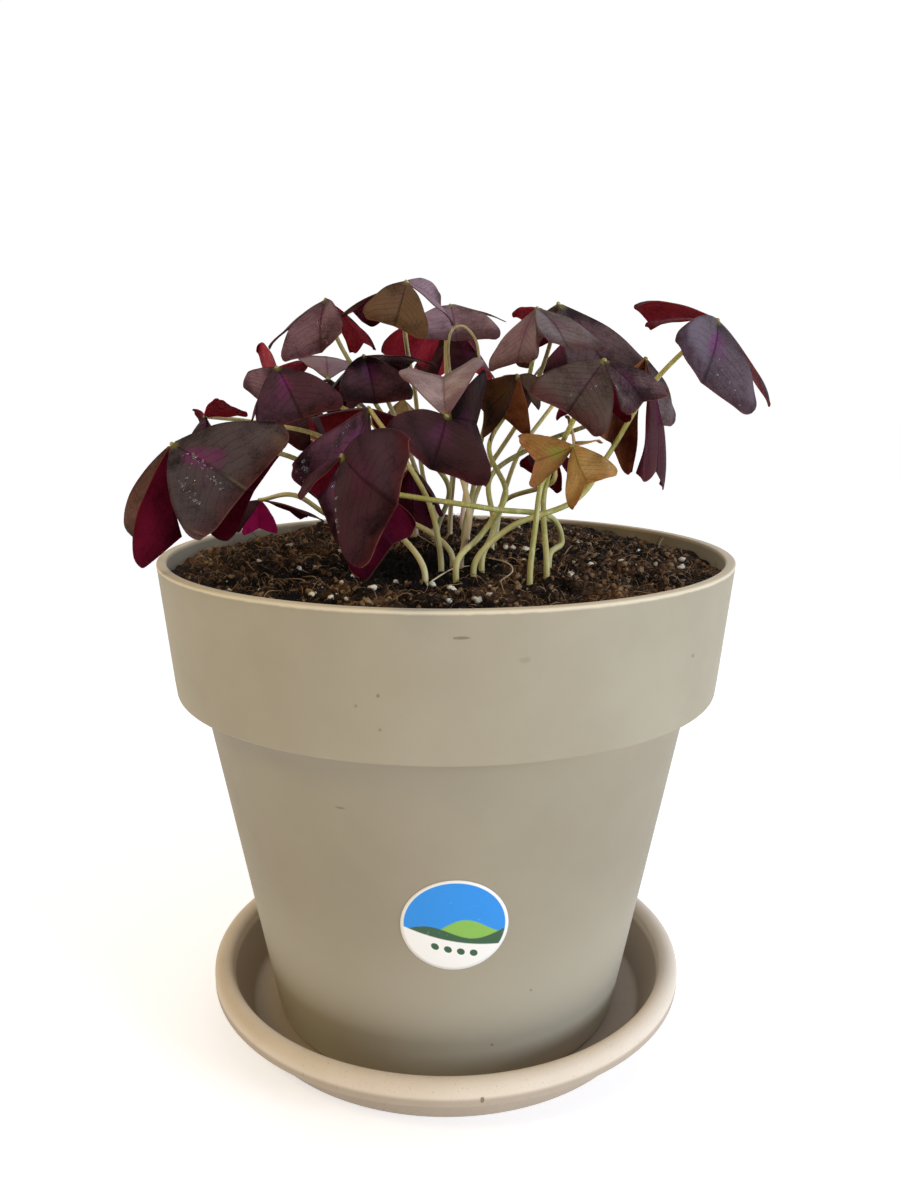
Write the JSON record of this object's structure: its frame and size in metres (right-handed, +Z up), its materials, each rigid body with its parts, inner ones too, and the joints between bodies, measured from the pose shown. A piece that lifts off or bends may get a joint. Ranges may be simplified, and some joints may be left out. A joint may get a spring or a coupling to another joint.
{
  "type": "purple shamrock in a pot on a saucer",
  "caption": "Potted oxalis with notched, folded purple leaves in threes on thin stems, in a tapered plastic pot with a deep rim band and a round saucer.",
  "frame": {"origin": "centre of the saucer's foot, on the surface that the object stands on", "axes": "+Z up, -Y the front with the round label, +X to the right as seen from the front"},
  "size_m": [0.2593, 0.2661, 0.3187],
  "materials": {
    "pot_plastic": "matte, lightly scuffed",
    "saucer_plastic": "matte, finely speckled",
    "label": "smooth printed paper",
    "soil": "moist fibrous potting mix with perlite",
    "leaf_purple": "satin leaf, dark purple above and wine red below",
    "leaf_young": "satin leaf, tan and olive",
    "petiole": "smooth fleshy stem, yellow green to pale pink",
    "stalk": "thin dry stalk"
  },
  "bodies": {
    "root": {"saucer": "saucer_plastic", "pot": "pot_plastic", "label": "label", "soil": "soil", "leaf_01": "leaf_purple", "petiole_01": "petiole", "leaf_02": "leaf_purple", "petiole_02": "petiole", "leaf_03": "leaf_purple", "petiole_03": "petiole", "leaf_04": "leaf_purple", "petiole_04": "petiole", "leaf_05": "leaf_purple", "petiole_05": "petiole", "leaf_06": "leaf_purple", "petiole_06": "petiole", "leaf_07": "leaf_purple", "petiole_07": "petiole", "leaf_08": "leaf_purple", "petiole_08": "petiole", "leaf_09": "leaf_purple", "petiole_09": "petiole", "leaf_10": "leaf_purple", "petiole_10": "petiole", "leaf_11": "leaf_purple", "petiole_11": "petiole", "leaf_12": "leaf_purple", "petiole_12": "petiole", "leaf_13": "leaf_purple", "petiole_13": "petiole", "leaf_14": "leaf_purple", "petiole_14": "petiole", "leaf_15": "leaf_purple", "petiole_15": "petiole", "leaf_16": "leaf_young", "petiole_16": "petiole", "leaf_17": "leaf_purple", "petiole_17": "petiole", "leaf_18": "leaf_purple", "petiole_18": "petiole", "leaf_19": "leaf_purple", "petiole_19": "petiole", "leaf_20": "leaf_purple", "petiole_20": "petiole", "leaf_21": "leaf_purple", "petiole_21": "petiole", "leaf_22": "leaf_purple", "petiole_22": "petiole", "leaf_23": "leaf_purple", "petiole_23": "petiole", "leaf_24": "leaf_purple", "petiole_24": "petiole", "leaf_25": "leaf_young", "petiole_25": "petiole", "stalk_bent": "stalk"}
  },
  "joints": []
}
